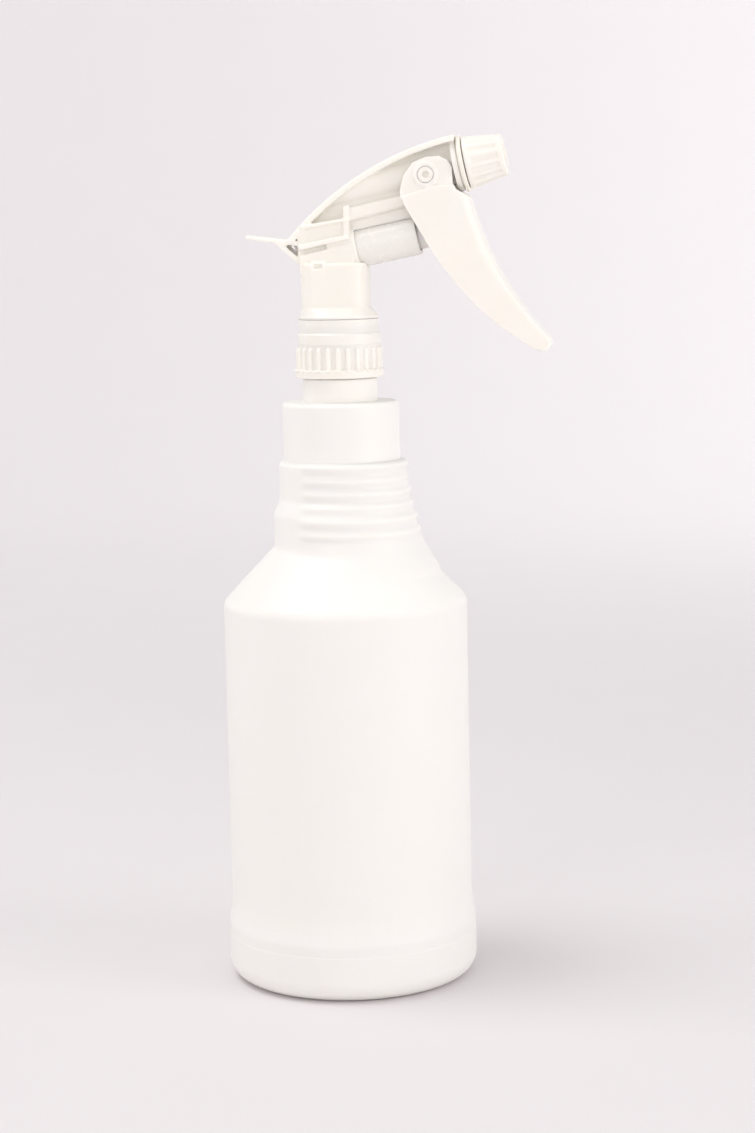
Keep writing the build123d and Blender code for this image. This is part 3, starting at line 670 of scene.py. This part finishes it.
cap_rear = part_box("nozzle_cap")[1].y / mm
cap_front = 7.4
cap_length = 14.2
cap_bore = 6.55
cap_floor = 9.2
insert_radius = 3.0
insert_front = cap_floor + 1.6
hole_radius = 1.2
hole_flare = 2.2
dish_radius = 4.3
dish_floor = cap_length - 1.5
flutes = 14
flute_depth = 0.62
flute_half_width = 0.36
cap_columns = np.linspace(0, 2 * pi, flutes * 16, endpoint=False)


def cap_shape(along, radius, angle):
    """Rounded flutes that run out before the rims, and the thread in the bore."""
    off_flute = ((angle * flutes / (2 * pi) + 0.5) % 1 - 0.5) / flute_half_width
    groove = np.sqrt(np.clip(1 - off_flute ** 2, 0, 1))
    ends = eased(1.4, 2.4, along) * (1 - eased(cap_length - 2.6, cap_length - 1.5, along))
    outer = radius > cap_front - 0.2
    inner = (np.abs(radius - cap_bore) < same_face) * (along < cap_floor - 0.5)
    screw = cap_thread(along, angle, start=2.45, turns=1.5, rise=0.6)
    return radius - outer * flute_depth * groove * ends - inner * screw


cap_line = rounded([
    (0.6, cap_bore, 0), (0, cap_bore, 0.15), (0, cap_rear, 0.5), (1.3, cap_rear - 0.1, 2.0),
    (cap_length - 1.3, cap_front + 0.12, 0.5), (cap_length, cap_front + 0.05, 0.75), (cap_length, 5.0, 0.3),
    (dish_floor, dish_radius, 0.4), (dish_floor, hole_flare, 0.3), (insert_front, hole_radius, 0.1),
    (insert_front, insert_radius, 0.1), (cap_floor, insert_radius, 0.1), (cap_floor, cap_bore, 0.2),
    (1.0, cap_bore, 0),
], 0.4)
cap_rows = turned(cap_line, cap_columns, cap_shape, nozzle_root, forward, across)
cap = skin("nozzle_fluted_cap", cap_rows, ring=True)
fit(cap, ivory_finish("ivory_cap_plastic", cream, 0.33), "nozzle_cap", "ivory_cap", "nozzle_cap")

# ==== Trigger
# A moulded polypropylene lever, a channel open to the rear, with a curved front for the fingers. Its two ears
# snap over the frame's trunnions, and it pushes the piston.
lever = moulded("trigger_lever", "trigger", voxel=0.27, passes=5, keep=0.5)
lever_plastic = ivory_finish("ivory_trigger_plastic", (0.93, 0.912, 0.862), 0.33)
fit(lever, lever_plastic, "trigger", "ivory_trigger", "trigger")

# ==== Studio
# A flat of pale matt paper curves up all round, open to an even pale room. One broad round lamp hangs
# overhead, one stands in front on the left and one on the right. The far paper glows faintly, more so on the
# right.
sweep_flat = 1300.0
sweep_wall = 2000.0
sweep_height = 1150.0
sweep_columns = np.linspace(0, 2 * pi, 96, endpoint=False)
sweep_line = rounded([(0, 2, 0), (0, sweep_wall, sweep_wall - sweep_flat), (sweep_height, sweep_wall, 0)], 60)
sweep = skin("paper_sweep", turned(sweep_line, sweep_columns), lid=False)
paper = Finish("pale_paper", Roughness=0.9, Specular_IOR_Level=0.1, Emission_Strength=0.28)
paper_grain = paper.noise(60, 4.0)
paper.relief(paper.noise(1.5, 3.0), 0.02)
paper_white = paper.done(
    paper.blend(paper_grain, (0.785, 0.757, 0.766), (0.80, 0.772, 0.78)), 0.88 + paper_grain * 0.05
)
from_middle = paper.node("ShaderNodeVectorMath", {"operation": "LENGTH"}, {0: paper.place}, "Value")
far_out = paper.between(0.4, 1.6, from_middle)
to_right = paper.between(-0.7, 0.7, paper.node("ShaderNodeSeparateXYZ", {}, {"Vector": paper.place}))
paper.feed(
    paper.shader.inputs["Emission Color"],
    paper.blend(far_out * (0.4 + to_right * 0.6), (0.0, 0.0, 0.0), (1.0, 0.985, 0.99)),
)
sweep.data.materials.append(paper_white)


def lamp(name, place, aim, size, power, colour):
    """A round soft lamp at a place, turned to face a point, both in millimetres."""
    light = bpy.data.lights.new(name, "AREA")
    light.shape = "DISK"
    light.size = size * mm
    light.energy = power
    light.color = colour
    holder = bpy.data.objects.new(name, light)
    bpy.context.scene.collection.objects.link(holder)
    where = Vector(place) * mm
    holder.location = where
    holder.rotation_euler = (Vector(aim) * mm - where).to_track_quat("-Z", "Y").to_euler()
    holder.visible_camera = False


warm_white = (1.0, 0.99, 0.98)
lamp("overhead_lamp", (-600, -100, 1600), aim=(0, 0, 120), size=900, power=8.8, colour=warm_white)
lamp("front_lamp", (-650, -1500, 600), aim=(0, 0, 180), size=900, power=3.4, colour=warm_white)
lamp("side_lamp", (1300, -450, 500), aim=(0, 0, 200), size=800, power=4.5, colour=(1.0, 0.99, 0.985))
world = bpy.data.worlds.new("soft_room")
world.use_nodes = True
world.node_tree.nodes["Background"].inputs["Color"].default_value = (1.0, 0.99, 1.0, 1)
world.node_tree.nodes["Background"].inputs["Strength"].default_value = 0.65
bpy.context.scene.world = world
bpy.context.scene.view_settings.view_transform = "Standard"

# ==== Camera
# It stands in front and a little above, on the side where the sprayer points to the right. It looks slightly
# down, and it is turned and tipped a little off square.
camera_turn = radians(8)
camera_distance = 895.0
camera_offset = 12.2
camera_height = 273.2
camera_pitch = radians(7.637)
camera_roll = radians(1.29)
camera_lens = 77.37
camera = bpy.data.objects.new("camera", bpy.data.cameras.new("camera"))
bpy.context.scene.collection.objects.link(camera)
camera.data.lens = camera_lens
camera.data.sensor_width = 36.0
camera.data.clip_start = 0.05
camera.data.clip_end = 20.0
right = Vector((cos(camera_turn), sin(camera_turn), 0))
level_ahead = Vector((-sin(camera_turn), cos(camera_turn), 0))
ahead = level_ahead * cos(camera_pitch) - Vector((0, 0, sin(camera_pitch)))
up = right.cross(ahead)
rolled_right = right * cos(camera_roll) - up * sin(camera_roll)
rolled_up = right * sin(camera_roll) + up * cos(camera_roll)
stand = -level_ahead * camera_distance + right * camera_offset + Vector((0, 0, camera_height))
turn = Matrix((rolled_right, rolled_up, -ahead)).transposed().to_4x4()
camera.matrix_world = Matrix.Translation(stand * mm) @ turn
bpy.context.scene.camera = camera
